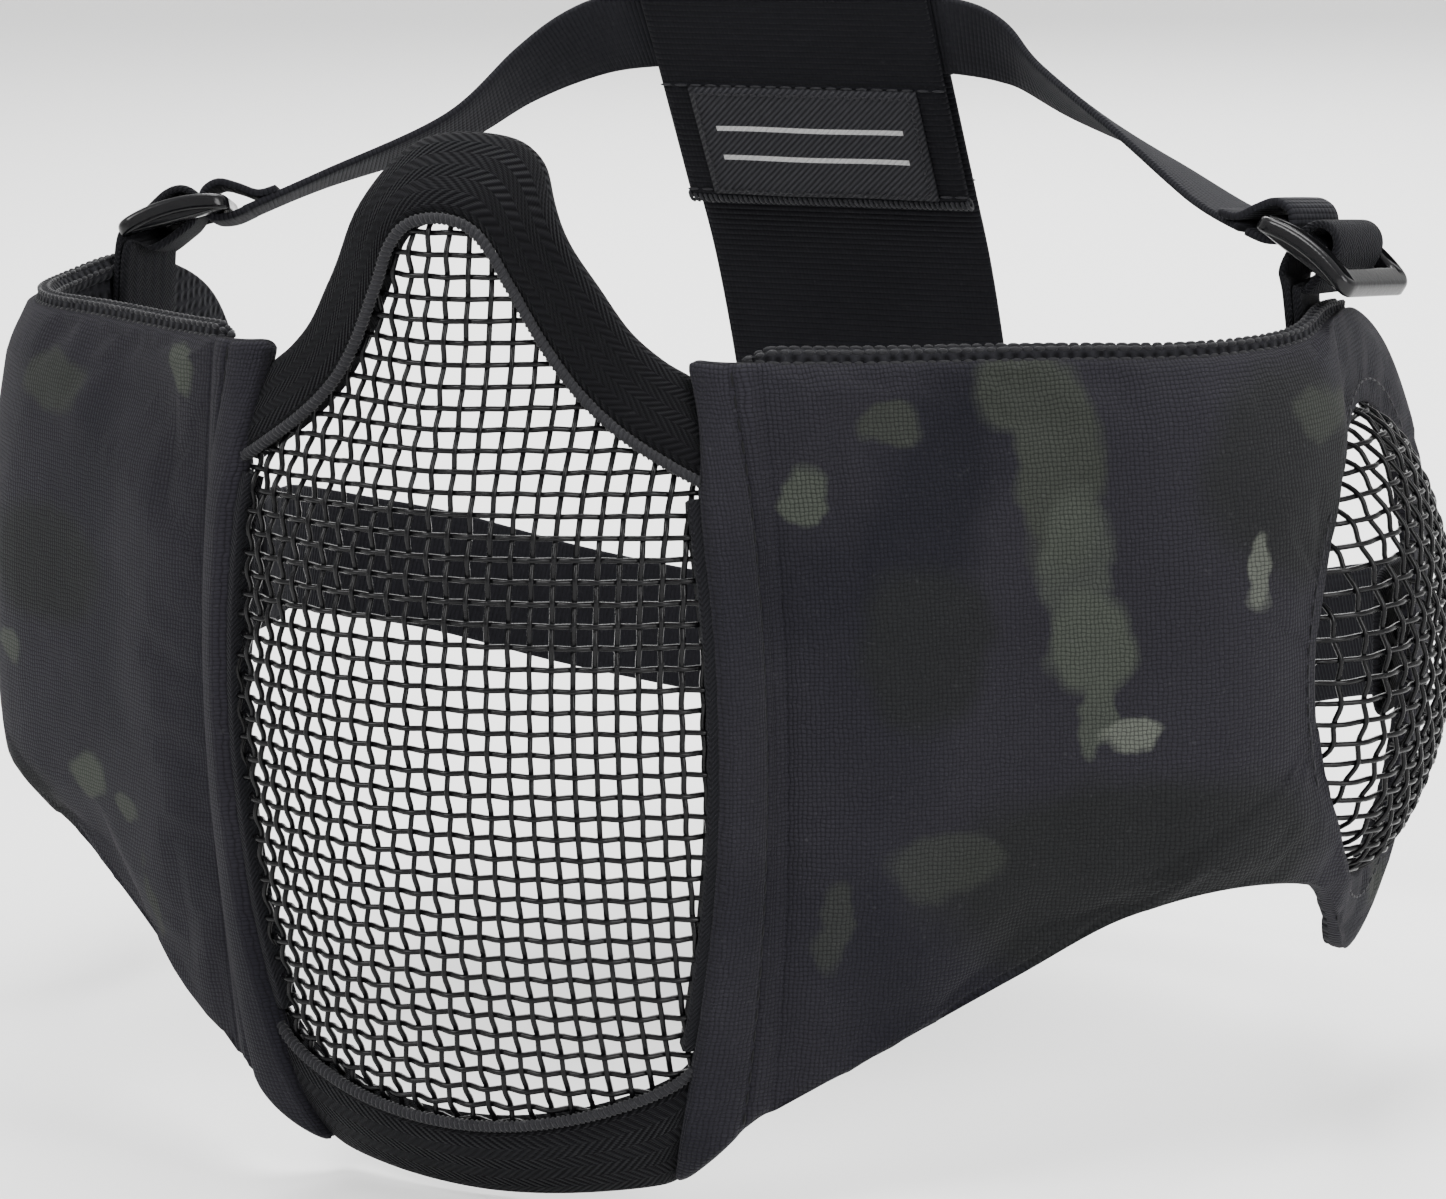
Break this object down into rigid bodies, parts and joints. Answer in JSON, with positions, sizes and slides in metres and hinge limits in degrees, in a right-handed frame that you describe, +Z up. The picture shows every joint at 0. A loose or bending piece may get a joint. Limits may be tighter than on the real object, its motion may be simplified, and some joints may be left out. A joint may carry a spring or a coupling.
{
  "type": "half face guard",
  "caption": "Foldable lower face guard: formed wire mesh over nose and mouth, padded cheek wings with domed ear meshes, elastic head harness on strap slides.",
  "frame": {"origin": "midway between the two wing fold lines at mouth height, where the wearer's mouth is", "axes": "+Z up, -Y forwards out of the face, +X to the wearer's left; the guard is mirrored about x = 0 apart from the slides' hang"},
  "size_m": [0.2398, 0.1932, 0.167],
  "materials": {
    "wire": "gloss black enamel on woven steel wire",
    "tape": "black herringbone binding tape",
    "piping": "whipped black cord",
    "camo_cloth": "dark camouflage nylon, coarse plain weave",
    "foam": "closed-cell foam sheet",
    "lining": "black knitted spacer mesh",
    "webbing": "black herringbone webbing",
    "elastic": "ribbed black elastic",
    "slide_plastic": "moulded black acetal, satin gloss",
    "label": "blank twill patch"
  },
  "bodies": {
    "face_guard": {"face_mesh": "wire", "nose_binding": "tape", "nose_piping": "piping", "chin_binding": "tape", "chin_piping": "piping", "edge_tape_right": "tape", "edge_tape_left": "tape", "hem_right": "camo_cloth", "hem_left": "camo_cloth"},
    "left_wing": {"wing_cover_left": "camo_cloth", "wing_pad_left": "foam", "wing_lining_left": "lining", "ear_mesh_left": "wire", "anchor_loop_left": "webbing", "crown_strap_left": "elastic", "nape_strap_left": "elastic", "nape_tab_left": "webbing"},
    "right_wing": {"wing_cover_right": "camo_cloth", "wing_pad_right": "foam", "wing_lining_right": "lining", "ear_mesh_right": "wire", "anchor_loop_right": "webbing", "crown_strap_right": "elastic", "nape_strap_right": "elastic", "nape_tab_right": "webbing"},
    "left_slide": {"tri_glide_left": "slide_plastic"},
    "right_slide": {"tri_glide_right": "slide_plastic"},
    "crown_band": {"crown_band": "elastic", "label": "label"}
  },
  "joints": [
    {"name": "left_wing_fold", "type": "hinge", "parent": "face_guard", "child": "left_wing", "pos_m": [0.0415, 0.003, 0], "axis": [0, 0, 1], "range_deg": [-20, 35], "deforming": ["crown_strap_left", "nape_strap_left"]},
    {"name": "right_wing_fold", "type": "hinge", "parent": "face_guard", "child": "right_wing", "pos_m": [-0.0415, 0.003, 0], "axis": [0, 0, -1], "range_deg": [-20, 35], "deforming": ["crown_strap_right", "nape_strap_right"]},
    {"name": "left_slide_tilt", "type": "hinge", "parent": "left_wing", "child": "left_slide", "pos_m": [0.1025, 0.0842, 0.0575], "axis": [0.197, 0.9738, -0.114], "range_deg": [-20, 20], "deforming": ["crown_strap_left"]},
    {"name": "right_slide_tilt", "type": "hinge", "parent": "right_wing", "child": "right_slide", "pos_m": [-0.0945, 0.088, 0.0556], "axis": [-0.3811, 0.9025, -0.2006], "range_deg": [-8, 20], "deforming": ["crown_strap_right"]},
    {"name": "crown_band_slide", "type": "slide", "parent": "face_guard", "child": "crown_band", "axis": [1, 0, 0], "range_m": [-0.005, 0.005], "deforming": ["crown_strap_left", "crown_strap_right", "nape_strap_left", "nape_strap_right"]}
  ]
}
